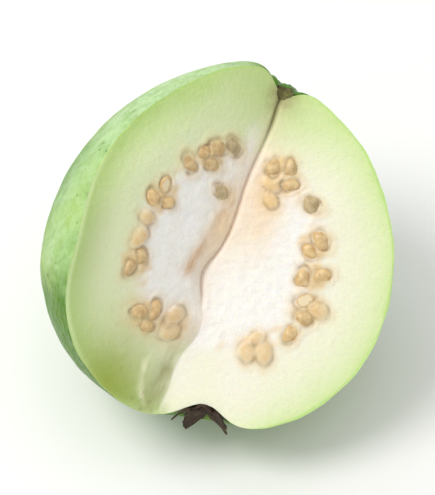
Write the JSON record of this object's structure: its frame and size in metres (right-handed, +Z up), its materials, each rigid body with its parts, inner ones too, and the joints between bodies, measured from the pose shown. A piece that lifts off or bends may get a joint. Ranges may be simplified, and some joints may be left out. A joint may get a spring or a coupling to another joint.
{
  "type": "cut guava",
  "caption": "Green guava with a wide wedge cut out lengthwise, showing white flesh and a ring of seeds, lying on its rounded back on a small flat spot.",
  "frame": {"origin": "centre of the bounding box's base, on the surface that the fruit lies on", "axes": "+Z up, -Y towards a viewer who looks down on the cut faces, +X to that viewer's right; the stem end points up and away from the viewer"},
  "size_m": [0.0676, 0.0622, 0.0614],
  "materials": {
    "skin": "waxy green fruit skin with fine pits; the cut faces are moist cream flesh, whitish pulp and tan seeds",
    "dried_calyx": "dry brown plant tissue"
  },
  "bodies": {
    "root": {"cut_guava": "skin", "dried_calyx": "dried_calyx"}
  },
  "joints": []
}
